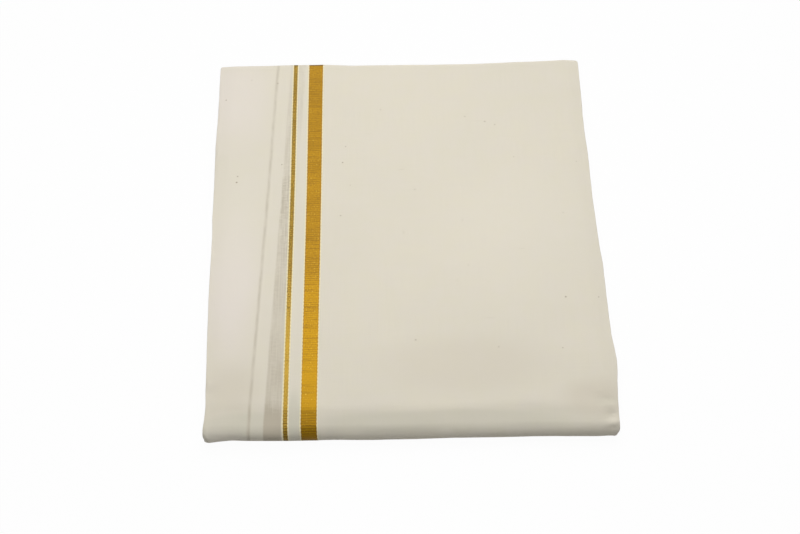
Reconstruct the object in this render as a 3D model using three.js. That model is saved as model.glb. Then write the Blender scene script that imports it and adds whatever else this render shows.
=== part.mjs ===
// A folded lungi: one uncut length of cream cotton with a gold border along each selvedge.
//
// The cloth is doubled across its width, and its two long sides are then turned on to its face,
// so that they meet a quarter of the way in. That makes a ribbon of four plies, a quarter of the
// cloth wide. The ribbon is doubled, doubled again, and folded in three like a letter, which lays
// it over itself twelve times in a flat packet.
//
// Units are millimetres. +Z is up. The origin is at the middle of the packet's underside, +Y runs
// to its far end and -Y to the near roll, where the outer ribbon goes down and under.

import * as THREE from "three";

// ---------------------------------------------------------------------------
// Driving dimensions
// ---------------------------------------------------------------------------

const CLOTH_WIDTH = 1270; // selvedge to selvedge
const PACKET_WIDTH = CLOTH_WIDTH / 4; // four plies lie side by side once the sides are turned in
const PACKET_LENGTH = 341;
const PACKET_HEIGHT = 19.2;
const RIBBONS = 12; // times that the four-ply ribbon lies over itself
const PASSES = 3; // panels of the letter fold: top, bottom and inner
const GAP = 0.35; // clearance between one piece of cloth and the next

const RIBBON = PACKET_HEIGHT / RIBBONS; // height taken by one ribbon of four plies
const RIBBON_WALL = RIBBON - GAP; // cloth in one ribbon
const PASS = PACKET_HEIGHT / PASSES; // height taken by one panel of the letter fold
const PASS_DEPTH = PASS - GAP; // cloth in one panel

const HALF_WIDTH = PACKET_WIDTH / 2;
const HALF_LENGTH = PACKET_LENGTH / 2;
const NEAR_RADIUS = PACKET_HEIGHT / 2; // roll from the top panel to the bottom one
const END_RADIUS = PASS_DEPTH / 2; // turned-under end of the top panel
const NEAR_CENTRE_Y = -HALF_LENGTH + NEAR_RADIUS;
const FAR_CENTRE_Y = HALF_LENGTH - PASS; // roll from the bottom panel to the inner one
const END_CENTRE_Y = HALF_LENGTH - END_RADIUS;

// Where the bordered flap meets the plain flap, measured from the packet's left side. The stretch
// goes from 0 at the top panel's far end to 1 at its near end, then 2 and 3 on the other panels.
const MEETING_LINE = [
  { stretch: 0, fromLeft: 90.1 },
  { stretch: 0.15, fromLeft: 89.5 },
  { stretch: 0.35, fromLeft: 88.9 },
  { stretch: 0.5, fromLeft: 88.2 },
  { stretch: 0.7, fromLeft: 87.1 },
  { stretch: 0.85, fromLeft: 86.2 },
  { stretch: 1, fromLeft: 85.4 },
  { stretch: 2, fromLeft: 89.3 },
  { stretch: 3, fromLeft: 87.7 },
];

// How far each side edge stands out past straight, by the distance from the near end.
const LEFT_EDGE = [
  { fromNear: 0, out: 0.75 },
  { fromNear: 8, out: 0.35 },
  { fromNear: 15, out: -0.65 },
  { fromNear: 24, out: -1.35 },
  { fromNear: 34, out: -0.95 },
  { fromNear: 63, out: -0.5 },
  { fromNear: 84, out: -0.05 },
  { fromNear: 112, out: 0.2 },
  { fromNear: 135, out: 0.25 },
  { fromNear: 168, out: -0.25 },
  { fromNear: 190, out: 0.45 },
  { fromNear: 213, out: 0.2 },
  { fromNear: 254, out: 0.65 },
  { fromNear: 272, out: 0.35 },
  { fromNear: 286, out: -0.3 },
  { fromNear: 341, out: -0.25 },
];
const RIGHT_EDGE = [
  { fromNear: 0, out: -2.2 },
  { fromNear: 14, out: -2.4 },
  { fromNear: 26, out: -1.95 },
  { fromNear: 37, out: -1.05 },
  { fromNear: 47, out: 0.15 },
  { fromNear: 57, out: 0.65 },
  { fromNear: 67, out: -0.25 },
  { fromNear: 77, out: -1.4 },
  { fromNear: 108, out: -1.7 },
  { fromNear: 140, out: -1.4 },
  { fromNear: 151, out: -2.4 },
  { fromNear: 173, out: -2.95 },
  { fromNear: 200, out: -3.55 },
  { fromNear: 243, out: -3.05 },
  { fromNear: 262, out: -3.7 },
  { fromNear: 281, out: -3.7 },
  { fromNear: 304, out: -3.0 },
  { fromNear: 341, out: -2.35 },
];
const SIDE_ZONE = 38; // the side edges' wander dies away this far in

// How far each end stands out past straight, by the place across the packet.
const FAR_EDGE = [
  { x: -158, out: -1.5 },
  { x: -120, out: -1.55 },
  { x: -95, out: -0.9 },
  { x: -65, out: -0.85 },
  { x: -45, out: -1.8 },
  { x: 8, out: -1.9 },
  { x: 28, out: -2.3 },
  { x: 60, out: -1.9 },
  { x: 80, out: -1.0 },
  { x: 100, out: 0.0 },
  { x: 125, out: 0.8 },
  { x: 150, out: 1.6 },
  { x: 158, out: 1.5 },
];
const NEAR_EDGE = [
  { x: -158, out: 0.0 },
  { x: -150, out: -0.8 },
  { x: -140, out: -1.4 },
  { x: -128, out: -0.7 },
  { x: -94, out: 0.3 },
  { x: -63, out: 0.15 },
  { x: -29, out: 0.75 },
  { x: 0, out: 0.7 },
  { x: 30, out: 0.05 },
  { x: 60, out: 0.25 },
  { x: 90, out: 0.55 },
  { x: 118, out: 1.5 },
  { x: 145, out: 1.6 },
  { x: 158, out: 1.4 },
];
const END_ZONE = 60; // the ends' wander dies away this far in

// Rounding of the packet's corners, seen from above.
const NEAR_CORNER = 3.2;
const FAR_CORNER = 4.0;

// The top slopes slowly towards the near roll, then falls more steeply from a shoulder. Each
// loss is a share of the height, and the shoulder's start is its distance from the near end.
const NEAR_SLOPE = 0.06;
const NEAR_SLOPE_LENGTH = 95;
const SHOULDER = [
  { x: -158, start: 27, drop: 0.1 },
  { x: -112, start: 26, drop: 0.11 },
  { x: -68, start: 22.5, drop: 0.2 },
  { x: 40, start: 22.5, drop: 0.21 },
  { x: 92, start: 25, drop: 0.17 },
  { x: 125, start: 23, drop: 0.12 },
  { x: 158, start: 20, drop: 0.09 },
];
const SHOULDER_SOFTNESS = 0.25; // share of the fall over which it sets in
const FAR_DROP = 0.035; // share of the height lost at the far edge
const FAR_DROP_LENGTH = 30;
const SIDE_DROOP = 0.05; // share of the height lost at the side folds
const SIDE_DROOP_LENGTH = 13;

// Soft rises and hollows of the top, each a share of the height, as a hand has left them.
const SWELLS = [
  { x: 60, y: 40, reachX: 90, reachY: 110, rise: 0.018 },
  { x: -95, y: -30, reachX: 55, reachY: 120, rise: 0.012 },
  { x: 20, y: -95, reachX: 120, reachY: 45, rise: -0.014 },
  { x: 128, y: -112, reachX: 34, reachY: 30, rise: 0.03 },
];

// The hidden ribbons' side folds, each set in from the outer ribbon's by its own amount on the
// top, bottom and inner panels, and wandering by a slow wave along the packet.
const HIDDEN_EDGES = [
  { top: 0.5, bottom: 1.4, inner: 1.9, wave: 0.45, waveLength: 210, phase: 0.1 },
  { top: 1.5, bottom: 0.6, inner: 0.9, wave: 0.6, waveLength: 265, phase: 0.45 },
  { top: 0.8, bottom: 1.7, inner: 2.3, wave: 0.5, waveLength: 180, phase: 0.8 },
];
const GROOVE = 1.0; // how deep the crease between two side folds is

// Rows of points along the straight stretches, by the distance from the near roll's centre, and
// steps round each roll.
const RUN_ROWS = [6, 12, 19, 42, 72, 102, 132, 162, 192, 222, 252, 282, 305, 317];
const NEAR_ROLL_STEPS = 10;
const FAR_ROLL_STEPS = 7;
const END_ROLL_STEPS = 6;

// Columns of points across the cloth, as distances from the nearest side.
const SIDE_COLUMNS = [4, 12, 38];
const MIDDLE_COLUMNS = [-20, 60, 92]; // x of the columns in the plain middle

// ---------------------------------------------------------------------------
// Small helpers
// ---------------------------------------------------------------------------

/** Straight-line value of one column of a table, whose rows are sorted by another. */
function lookUp(table, key, at, column) {
  if (at <= table[0][key]) return table[0][column];
  for (let i = 1; i < table.length; i += 1) {
    const low = table[i - 1];
    const high = table[i];
    if (at <= high[key]) {
      const share = (at - low[key]) / (high[key] - low[key]);
      return THREE.MathUtils.lerp(low[column], high[column], share);
    }
  }
  return table[table.length - 1][column];
}

/** 1 at distance 0, easing to 0 at the given reach. */
function fade(distance, reach) {
  return 1 - THREE.MathUtils.smoothstep(Math.abs(distance), 0, reach);
}

/** Inset that rounds a corner of the given radius, by the distance from its end. */
function cornerInset(fromEnd, radius) {
  if (fromEnd >= radius) return 0;
  const reach = radius - Math.max(fromEnd, 0);
  return radius - Math.sqrt(radius * radius - reach * reach);
}

// ---------------------------------------------------------------------------
// How the packet has settled
// ---------------------------------------------------------------------------

/** Share of the height lost to the shoulder by the near roll. */
function shoulderLoss(x, fromNear) {
  const start = lookUp(SHOULDER, "x", x, "start");
  const drop = lookUp(SHOULDER, "x", x, "drop");
  const down = THREE.MathUtils.clamp((start - fromNear) / start, 0, 1);
  const soft = SHOULDER_SOFTNESS;
  const ramp = down < soft ? (down * down) / (2 * soft) : down - soft / 2;
  return (drop * ramp) / (1 - soft / 2);
}

/** Share of the full height that the packet keeps over one point of its underside. */
function heightShare(x, y) {
  const fromNear = y + HALF_LENGTH;
  const fromFar = HALF_LENGTH - y;
  const fromSide = HALF_WIDTH - Math.abs(x);
  let share = 1;
  share -= NEAR_SLOPE * fade(fromNear, NEAR_SLOPE_LENGTH);
  share -= shoulderLoss(x, fromNear);
  share -= FAR_DROP * fade(fromFar, FAR_DROP_LENGTH);
  share -= SIDE_DROOP * fade(Math.max(fromSide, 0), SIDE_DROOP_LENGTH);
  for (const swell of SWELLS) {
    share += swell.rise * fade(x - swell.x, swell.reachX) * fade(y - swell.y, swell.reachY);
  }
  return share;
}

/** Moves a point of the straight packet to its place in the settled one. */
function settle(x, y, z) {
  const fromNear = y + HALF_LENGTH;
  const fromFar = HALF_LENGTH - y;
  const corner = cornerInset(fromNear, NEAR_CORNER) + cornerInset(fromFar, FAR_CORNER);
  const sideEdge = x < 0 ? LEFT_EDGE : RIGHT_EDGE;
  const sideOut = lookUp(sideEdge, "fromNear", fromNear, "out") - corner;
  const sideWeight = fade(Math.max(HALF_WIDTH - Math.abs(x), 0), SIDE_ZONE);
  const farOut = lookUp(FAR_EDGE, "x", x, "out") * fade(fromFar, END_ZONE);
  const nearOut = lookUp(NEAR_EDGE, "x", x, "out") * fade(fromNear, END_ZONE);
  const settledX = x + Math.sign(x) * sideOut * sideWeight;
  return new THREE.Vector3(settledX, y + farOut - nearOut, z * heightShare(x, y));
}

// ---------------------------------------------------------------------------
// The path of the ribbon, seen from the side
// ---------------------------------------------------------------------------

/** Stations strictly between two ends of a flat stretch. */
function flatRun(fromY, toY, z, inwardZ, stretchFrom, stretchTo) {
  const rows = fromY > toY ? [...RUN_ROWS].reverse() : RUN_ROWS;
  return rows.map((fromRoll) => {
    const y = NEAR_CENTRE_Y + fromRoll;
    const share = (y - fromY) / (toY - fromY);
    const stretch = THREE.MathUtils.lerp(stretchFrom, stretchTo, share);
    return { y, z, inwardY: 0, inwardZ, stretch };
  });
}

/** Stations round a half-turn, both ends included. */
function halfTurn(centreY, centreZ, radius, fromDegrees, steps, stretchFrom, stretchTo) {
  const stations = [];
  for (let i = 0; i <= steps; i += 1) {
    const share = i / steps;
    const angle = THREE.MathUtils.degToRad(fromDegrees + 180 * share);
    stations.push({
      y: centreY + radius * Math.cos(angle),
      z: centreZ + radius * Math.sin(angle),
      inwardY: -Math.cos(angle),
      inwardZ: -Math.sin(angle),
      stretch: THREE.MathUtils.lerp(stretchFrom, stretchTo, share),
    });
  }
  return stations;
}

/** Outer face of the ribbon from the top panel's far end to the inner panel's near end. */
function letterFold() {
  const top = flatRun(END_CENTRE_Y, NEAR_CENTRE_Y, PACKET_HEIGHT, -1, 0, 1);
  const near = halfTurn(NEAR_CENTRE_Y, NEAR_RADIUS, NEAR_RADIUS, 90, NEAR_ROLL_STEPS, 1, 1.2);
  const bottom = flatRun(NEAR_CENTRE_Y, FAR_CENTRE_Y, 0, 1, 1.2, 2);
  const far = halfTurn(FAR_CENTRE_Y, PASS, PASS, -90, FAR_ROLL_STEPS, 2, 2.2);
  const inner = flatRun(FAR_CENTRE_Y, NEAR_CENTRE_Y, 2 * PASS, -1, 2.2, 3);
  const end = { y: NEAR_CENTRE_Y, z: 2 * PASS, inwardY: 0, inwardZ: -1, stretch: 3 };
  return [...top, ...near, ...bottom, ...far, ...inner, end];
}

/** Path of the outer ribbon, which also wraps round the top panel's far end. */
function outerPath() {
  const centreZ = PACKET_HEIGHT - END_RADIUS;
  const wrap = halfTurn(END_CENTRE_Y, centreZ, END_RADIUS, -90, END_ROLL_STEPS, 0, 0);
  return [...wrap, ...letterFold()];
}

/** A point at a depth inside the outer face of the path, and at x across the packet. */
function pointAt(station, x, depth) {
  const y = station.y + station.inwardY * depth;
  const z = station.z + station.inwardZ * depth;
  return settle(x, y, z);
}

// ---------------------------------------------------------------------------
// Closed solids swept along the path
// ---------------------------------------------------------------------------

/** Faces of one side's part of an end cap, from its outline points by their order round it. */
function sideCap(outline, indices) {
  const points = indices.map((index) => outline[index]);
  const faces = THREE.ShapeUtils.triangulateShape(points, []);
  return faces.map((face) => face.map((corner) => indices[corner]));
}

/** Faces of an end cap: a strip across its columns, and a rounded part at each side. */
function capFaces(outline, columnCount) {
  const edgeCount = outline.length / 2 - columnCount;
  const backStart = columnCount + edgeCount;
  const faces = [];
  for (let i = 0; i + 1 < columnCount; i += 1) {
    const below = backStart + columnCount - 1 - i;
    faces.push([i, i + 1, below - 1], [i, below - 1, below]);
  }
  const right = [];
  for (let i = columnCount - 1; i <= backStart; i += 1) right.push(i);
  const left = [0];
  for (let i = backStart + columnCount - 1; i < outline.length; i += 1) left.push(i);
  return [...faces, ...sideCap(outline, right), ...sideCap(outline, left)];
}

/** Closed solid through rings of points, whose outlines have so many columns to a face. */
function solidThroughRings(rings, firstOutline, lastOutline, columnCount) {
  const size = rings[0].length;
  const positions = [];
  for (const ring of rings) {
    for (const point of ring) positions.push(point.x, point.y, point.z);
  }
  const faces = [];
  for (let i = 0; i + 1 < rings.length; i += 1) {
    for (let j = 0; j < size; j += 1) {
      const next = (j + 1) % size;
      const a = i * size + j;
      const b = i * size + next;
      const c = (i + 1) * size + next;
      const d = (i + 1) * size + j;
      faces.push([a, c, b], [a, d, c]);
    }
  }
  const lastStart = (rings.length - 1) * size;
  for (const [a, b, c] of capFaces(firstOutline, columnCount)) {
    faces.push([a, b, c]);
  }
  for (const [a, b, c] of capFaces(lastOutline, columnCount)) {
    faces.push([lastStart + c, lastStart + b, lastStart + a]);
  }
  const geometry = new THREE.BufferGeometry();
  geometry.setAttribute("position", new THREE.Float32BufferAttribute(positions, 3));
  geometry.setIndex(faces.flat());
  geometry.computeVertexNormals();
  return geometry;
}

/** Half-round side fold between two depths: outline points from the first depth to the second. */
function roundedEdge(x, outward, fromDepth, toDepth) {
  const radius = (toDepth - fromDepth) / 2;
  const middle = (toDepth + fromDepth) / 2;
  const reach = Math.abs(radius);
  return [45, 90, 135].map((degrees) => {
    const angle = THREE.MathUtils.degToRad(degrees);
    const out = outward * reach * Math.sin(angle);
    return new THREE.Vector2(x + out, middle - radius * Math.cos(angle));
  });
}

/** Outline of one flap of the outer ribbon: its columns, with a rounded edge on each side. */
function flapOutline(columns) {
  const first = columns[0];
  const last = columns[columns.length - 1];
  const face = columns.map((x) => new THREE.Vector2(x, 0));
  const back = [...columns].reverse().map((x) => new THREE.Vector2(x, RIBBON_WALL));
  const right = roundedEdge(last, 1, 0, RIBBON_WALL);
  const left = roundedEdge(first, -1, RIBBON_WALL, 0);
  return [...face, ...right, ...back, ...left];
}

/** Solid of one flap, whose columns may shift along the path. */
function flapSolid(columnsAt) {
  const stations = outerPath();
  const columnCount = columnsAt(stations[0]).length;
  const outlines = stations.map((station) => flapOutline(columnsAt(station)));
  const rings = stations.map((station, i) => {
    return outlines[i].map((point) => pointAt(station, point.x, point.y));
  });
  return solidThroughRings(rings, outlines[0], outlines[outlines.length - 1], columnCount);
}

/** X of the line where the two flaps meet, at a station. */
function meetingX(station) {
  return -HALF_WIDTH + lookUp(MEETING_LINE, "stretch", station.stretch, "fromLeft");
}

/** Columns of the bordered flap, from the left side fold to the selvedge. */
function borderColumns(station) {
  const edge = RIBBON_WALL / 2;
  const fromLeft = SIDE_COLUMNS.map((distance) => -HALF_WIDTH + distance);
  return [-HALF_WIDTH + edge, ...fromLeft, meetingX(station) - GAP / 2 - edge];
}

/** Columns of the plain flap, from its long fold to the right side fold. */
function plainColumns(station) {
  const edge = RIBBON_WALL / 2;
  const toRight = [...SIDE_COLUMNS].reverse().map((distance) => HALF_WIDTH - distance);
  const long = meetingX(station) + GAP / 2 + edge;
  return [long, ...MIDDLE_COLUMNS, ...toRight, HALF_WIDTH - edge];
}

/** Inset of one hidden ribbon's side fold at a station. */
function hiddenInset(edge, station) {
  const rows = [
    { stretch: 0, inset: edge.top },
    { stretch: 1, inset: edge.top },
    { stretch: 1.2, inset: edge.bottom },
    { stretch: 2, inset: edge.bottom },
    { stretch: 2.2, inset: edge.inner },
    { stretch: 3, inset: edge.inner },
  ];
  const turns = station.y / edge.waveLength + edge.phase + station.stretch;
  const wave = edge.wave * (0.5 + 0.5 * Math.sin(2 * Math.PI * turns));
  return lookUp(rows, "stretch", station.stretch, "inset") + wave;
}

/** Side of the hidden layers: a crease, then one bulge for each ribbon, and a last crease. */
function layeredEdge(station, outward, fromDepth, toDepth) {
  const pitch = (toDepth - fromDepth) / HIDDEN_EDGES.length;
  const points = [];
  HIDDEN_EDGES.forEach((edge, ribbon) => {
    const start = fromDepth + ribbon * pitch;
    const reach = HALF_WIDTH - hiddenInset(edge, station);
    const profile = [
      { share: 0, inset: GROOVE },
      { share: 0.2, inset: 0.25 * GROOVE },
      { share: 0.5, inset: 0 },
      { share: 0.8, inset: 0.25 * GROOVE },
    ];
    for (const row of profile) {
      const depth = start + row.share * pitch;
      points.push(new THREE.Vector2(outward * (reach - row.inset), depth));
    }
  });
  const last = HIDDEN_EDGES[HIDDEN_EDGES.length - 1];
  const reach = HALF_WIDTH - hiddenInset(last, station) - GROOVE;
  points.push(new THREE.Vector2(outward * reach, toDepth));
  return points;
}

/** Columns of the hidden layers, from the left side folds to the right. */
function layersColumns(station) {
  const toRight = [...SIDE_COLUMNS].reverse().map((distance) => HALF_WIDTH - distance);
  const fromLeft = SIDE_COLUMNS.map((distance) => -HALF_WIDTH + distance);
  return [...fromLeft, meetingX(station), ...MIDDLE_COLUMNS, ...toRight];
}

/** Outline of the hidden layers between two depths. */
function layersOutline(station, fromDepth, toDepth) {
  const columns = layersColumns(station);
  const face = columns.map((x) => new THREE.Vector2(x, fromDepth));
  const back = [...columns].reverse().map((x) => new THREE.Vector2(x, toDepth));
  const right = layeredEdge(station, 1, fromDepth, toDepth);
  const left = layeredEdge(station, -1, fromDepth, toDepth).reverse();
  return [...face, ...right, ...back, ...left];
}

/** Rings of the hidden layers inside the wrapped far end of the top panel, from its tip. */
function wrappedEndRings() {
  const radius = END_RADIUS - RIBBON;
  const tip = [0.98, 0.85, 0.55, 0].map((share) => {
    const half = radius * Math.sqrt(1 - share * share);
    return { out: radius * share, from: END_RADIUS - half, to: END_RADIUS + half };
  });
  const root = [
    { out: -GAP, from: RIBBON, to: PASS_DEPTH - RIBBON },
    { out: -2 * GAP, from: RIBBON, to: PASS_DEPTH },
  ];
  return [...tip, ...root].map((row) => {
    const y = END_CENTRE_Y + row.out;
    const station = { y, z: PACKET_HEIGHT, inwardY: 0, inwardZ: -1, stretch: 0 };
    return { station, from: row.from, to: row.to };
  });
}

/** Rings of the inner panel's soft near end, which fills the near roll. */
function innerEndRings() {
  const radius = END_RADIUS;
  return [0.35, 0.65, 0.85, 0.97].map((share) => {
    const half = radius * Math.sqrt(1 - share * share);
    const y = NEAR_CENTRE_Y - radius * share;
    const station = { y, z: 2 * PASS, inwardY: 0, inwardZ: -1, stretch: 3 };
    return { station, from: Math.max(RIBBON, radius - half), to: radius + half };
  });
}

/** One rounded solid for the ribbons that the outer one hides, layered at its edges. */
function layersSolid() {
  const along = letterFold().map((station) => {
    return { station, from: RIBBON, to: PASS_DEPTH };
  });
  const rows = [...wrappedEndRings(), ...along, ...innerEndRings()];
  const outlines = rows.map((row) => layersOutline(row.station, row.from, row.to));
  const rings = rows.map((row, i) => {
    return outlines[i].map((point) => pointAt(row.station, point.x, point.y));
  });
  const columnCount = layersColumns(rows[0].station).length;
  return solidThroughRings(rings, outlines[0], outlines[outlines.length - 1], columnCount);
}

// ---------------------------------------------------------------------------
// The pieces
// ---------------------------------------------------------------------------

/** A cloth material of one colour. */
function cotton(color) {
  return new THREE.MeshStandardMaterial({ color, roughness: 0.92, metalness: 0 });
}

/** A named piece of the packet. */
function piece(name, geometry, material) {
  const mesh = new THREE.Mesh(geometry, material);
  mesh.name = name;
  return mesh;
}

const CREAM = 0xe0dac9;
const WARM_CREAM = 0xddd5c2;
const PALE_CREAM = 0xe2dccb;

const lungi = new THREE.Group();
lungi.add(piece("border_flap", flapSolid(borderColumns), cotton(PALE_CREAM)));
lungi.add(piece("plain_flap", flapSolid(plainColumns), cotton(CREAM)));
lungi.add(piece("folded_layers", layersSolid(), cotton(WARM_CREAM)));

export default lungi;
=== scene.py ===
"""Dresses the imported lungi: plies of unbleached cotton, a woven gold border and a plain studio.

The cloth is four plies wide when its sides are turned in. That ribbon lies over itself twelve
times in a flat packet. Each sheet here starts as a flat grid with the cloth's own measures as its
map, and is then laid along the folded path. Lengths are metres, +Z is up, and the near roll is at
the packet's -Y end.
"""

from __future__ import annotations

import logging
import math
from collections.abc import Sequence
from dataclasses import dataclass, replace
from enum import Enum

import bmesh
import bpy
from mathutils import Matrix, Vector, noise

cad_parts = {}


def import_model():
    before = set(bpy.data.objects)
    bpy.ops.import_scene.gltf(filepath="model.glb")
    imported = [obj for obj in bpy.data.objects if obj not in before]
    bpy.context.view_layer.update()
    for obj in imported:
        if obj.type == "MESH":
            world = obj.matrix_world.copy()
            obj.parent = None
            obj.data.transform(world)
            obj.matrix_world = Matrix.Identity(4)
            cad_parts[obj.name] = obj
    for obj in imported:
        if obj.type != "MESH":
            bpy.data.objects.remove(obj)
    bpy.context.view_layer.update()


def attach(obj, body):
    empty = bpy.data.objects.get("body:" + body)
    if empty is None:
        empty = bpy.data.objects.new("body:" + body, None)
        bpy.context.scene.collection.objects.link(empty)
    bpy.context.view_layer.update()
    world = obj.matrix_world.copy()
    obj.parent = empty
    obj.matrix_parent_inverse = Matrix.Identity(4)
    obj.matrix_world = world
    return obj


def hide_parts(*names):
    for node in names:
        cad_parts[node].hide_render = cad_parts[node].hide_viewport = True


LOG = logging.getLogger("lungi")
MM = 0.001
BODY = "root"
CLOTH_MAP = "cloth"

Triple = tuple[float, float, float]
Colour = Triple
Rows = Sequence[tuple[float, ...]]


# ---- Small helpers ----


def mix(low: float, high: float, share: float) -> float:
    """Returns the value a share of the way from low to high."""
    return low + (high - low) * share


def smooth(value: float) -> float:
    """Eases a value from 0 to 1, and holds it at either end."""
    held = min(max(value, 0.0), 1.0)
    return held * held * (3.0 - 2.0 * held)


def fade(distance: float, reach: float) -> float:
    """Returns 1 at distance 0, easing to 0 at the reach."""
    return 1.0 - smooth(abs(distance) / reach)


def look_up(rows: Rows, at: float, column: int = 1) -> float:
    """Reads a table whose rows are sorted by their first column.

    Args:
        rows: the table.
        at: where to read, in the first column's measure.
        column: the column that is read.

    Returns:
        The straight-line value between the two nearest rows.
    """
    if at <= rows[0][0]:
        return rows[0][column]
    for low, high in zip(rows, rows[1:]):
        if at <= high[0]:
            return mix(low[column], high[column], (at - low[0]) / (high[0] - low[0]))
    return rows[-1][column]


def ripple(x: float, along: float, wave: float, layer: float = 0.0) -> float:
    """Returns a slow unevenness from about -1 to 1, whose bumps are a wave apart."""
    return noise.noise(Vector((x / wave, along / wave, layer)))


def mesh_from(name: str, work: bmesh.types.BMesh) -> bpy.types.Mesh:
    """Returns a mesh made from a worked one, which is freed."""
    mesh = bpy.data.meshes.new(name)
    work.to_mesh(mesh)
    work.free()
    return mesh


def add_object(name: str, data: bpy.types.ID) -> bpy.types.Object:
    """Adds an object to the scene."""
    made = bpy.data.objects.new(name, data)
    bpy.context.scene.collection.objects.link(made)
    return made


# ---- The packet's sizes and how it has settled ----


@dataclass(frozen=True)
class Swell:
    """A soft rise or hollow of the packet's top, as a share of its height."""

    x: float
    y: float
    reach_x: float
    reach_y: float
    rise: float


@dataclass(frozen=True)
class Packet:
    """Sizes of the folded packet: the solids', but for slightly softer corners and shoulder."""

    length: float = 341 * MM
    cloth_width: float = 1270 * MM
    height: float = 19.2 * MM
    ribbons: int = 12
    panels: int = 3
    gap: float = 0.35 * MM
    side_zone: float = 38 * MM
    end_zone: float = 60 * MM
    near_corner: float = 4.1 * MM
    far_corner: float = 4.0 * MM
    near_slope: float = 0.06
    near_slope_length: float = 95 * MM
    shoulder_softness: float = 0.16
    far_drop: float = 0.035
    far_drop_length: float = 30 * MM
    side_droop: float = 0.05
    side_droop_length: float = 13 * MM

    @property
    def width(self) -> float:
        """Width of the ribbon, a quarter of the cloth's."""
        return self.cloth_width / 4

    @property
    def half_width(self) -> float:
        """Half the ribbon's width."""
        return self.width / 2

    @property
    def half_length(self) -> float:
        """Half the packet's length."""
        return self.length / 2

    @property
    def ribbon(self) -> float:
        """Height taken by one ribbon of four plies."""
        return self.height / self.ribbons

    @property
    def wall(self) -> float:
        """Cloth in one ribbon, without the clearance to the next."""
        return self.ribbon - self.gap

    @property
    def panel(self) -> float:
        """Height taken by one panel of the letter fold."""
        return self.height / self.panels

    @property
    def end_radius(self) -> float:
        """Radius of the turned-under end of the top panel."""
        return (self.panel - self.gap) / 2

    @property
    def near_radius(self) -> float:
        """Radius of the near roll."""
        return self.height / 2

    @property
    def near_y(self) -> float:
        """Centre of the near roll."""
        return -self.half_length + self.near_radius

    @property
    def far_y(self) -> float:
        """Centre of the roll from the bottom panel to the inner one."""
        return self.half_length - self.panel

    @property
    def end_y(self) -> float:
        """Centre of the top panel's turned end."""
        return self.half_length - self.end_radius

    @property
    def top_length(self) -> float:
        """Length of the top, between the turned end and the near roll."""
        return self.end_y - self.near_y


# The folded path is told off in stretches: the top is 0 to 1, and the others follow it.
TOP_SPAN = (0.0, 1.0)
NEAR_ROLL_SPAN = (1.0, 1.2)
BOTTOM_SPAN = (1.2, 2.0)
FAR_ROLL_SPAN = (2.0, 2.2)
INNER_SPAN = (2.2, 3.0)

# The tables below are in millimetres. Where the flaps meet, by the stretch of the path: how far
# that line is from the packet's left side.
MEETING_LINE = (
    (0, 90.1), (0.15, 89.5), (0.35, 88.9), (0.5, 88.2), (0.7, 87.1), (0.85, 86.2), (1, 85.4),
    (2, 89.3), (3, 87.7),
)

# Distance from the near end, then how far the side edge stands out past straight.
LEFT_EDGE = (
    (0, 0.75), (8, 0.35), (15, -0.65), (24, -1.35), (34, -0.95), (63, -0.5), (84, -0.05),
    (112, 0.2), (135, 0.25), (168, -0.25), (190, 0.45), (213, 0.2), (254, 0.65), (272, 0.35),
    (286, -0.3), (341, -0.25),
)
RIGHT_EDGE = (
    (0, -2.2), (14, -2.4), (26, -1.95), (37, -1.05), (47, 0.15), (57, 0.65), (67, -0.25),
    (77, -1.4), (108, -1.7), (140, -1.4), (151, -2.4), (173, -2.95), (200, -3.55), (243, -3.05),
    (262, -3.7), (281, -3.7), (304, -3), (341, -2.35),
)

# Place across the packet, then how far the end stands out past straight.
FAR_EDGE = (
    (-158, -1.5), (-120, -1.55), (-95, -0.9), (-65, -0.85), (-45, -1.8), (8, -1.9), (28, -2.3),
    (60, -1.9), (80, -1), (100, 0), (125, 0.8), (150, 1.6), (158, 1.5),
)
NEAR_EDGE = (
    (-158, 0), (-150, -1.2), (-140, -1.8), (-128, -0.95), (-94, -0.15), (-63, 0.1), (-29, 0.75),
    (0, 0.5), (30, -0.15), (60, 0.25), (90, 0.55), (118, 1.5), (145, 1.6), (158, 1.4),
)

# Place across the packet, then where the shoulder by the near roll starts, from the near end,
# and the share of the height that is lost from there.
SHOULDER = (
    (-158, 27, 0.13), (-112, 26, 0.15), (-68, 22.5, 0.22), (40, 22.5, 0.24), (92, 25, 0.2),
    (125, 23, 0.14), (158, 20, 0.1),
)

SWELLS = (
    Swell(x=60 * MM, y=40 * MM, reach_x=90 * MM, reach_y=110 * MM, rise=0.018),
    Swell(x=-95 * MM, y=-30 * MM, reach_x=55 * MM, reach_y=120 * MM, rise=0.012),
    Swell(x=20 * MM, y=-95 * MM, reach_x=120 * MM, reach_y=45 * MM, rise=-0.014),
    Swell(x=128 * MM, y=-112 * MM, reach_x=34 * MM, reach_y=30 * MM, rise=0.03),
)


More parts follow.
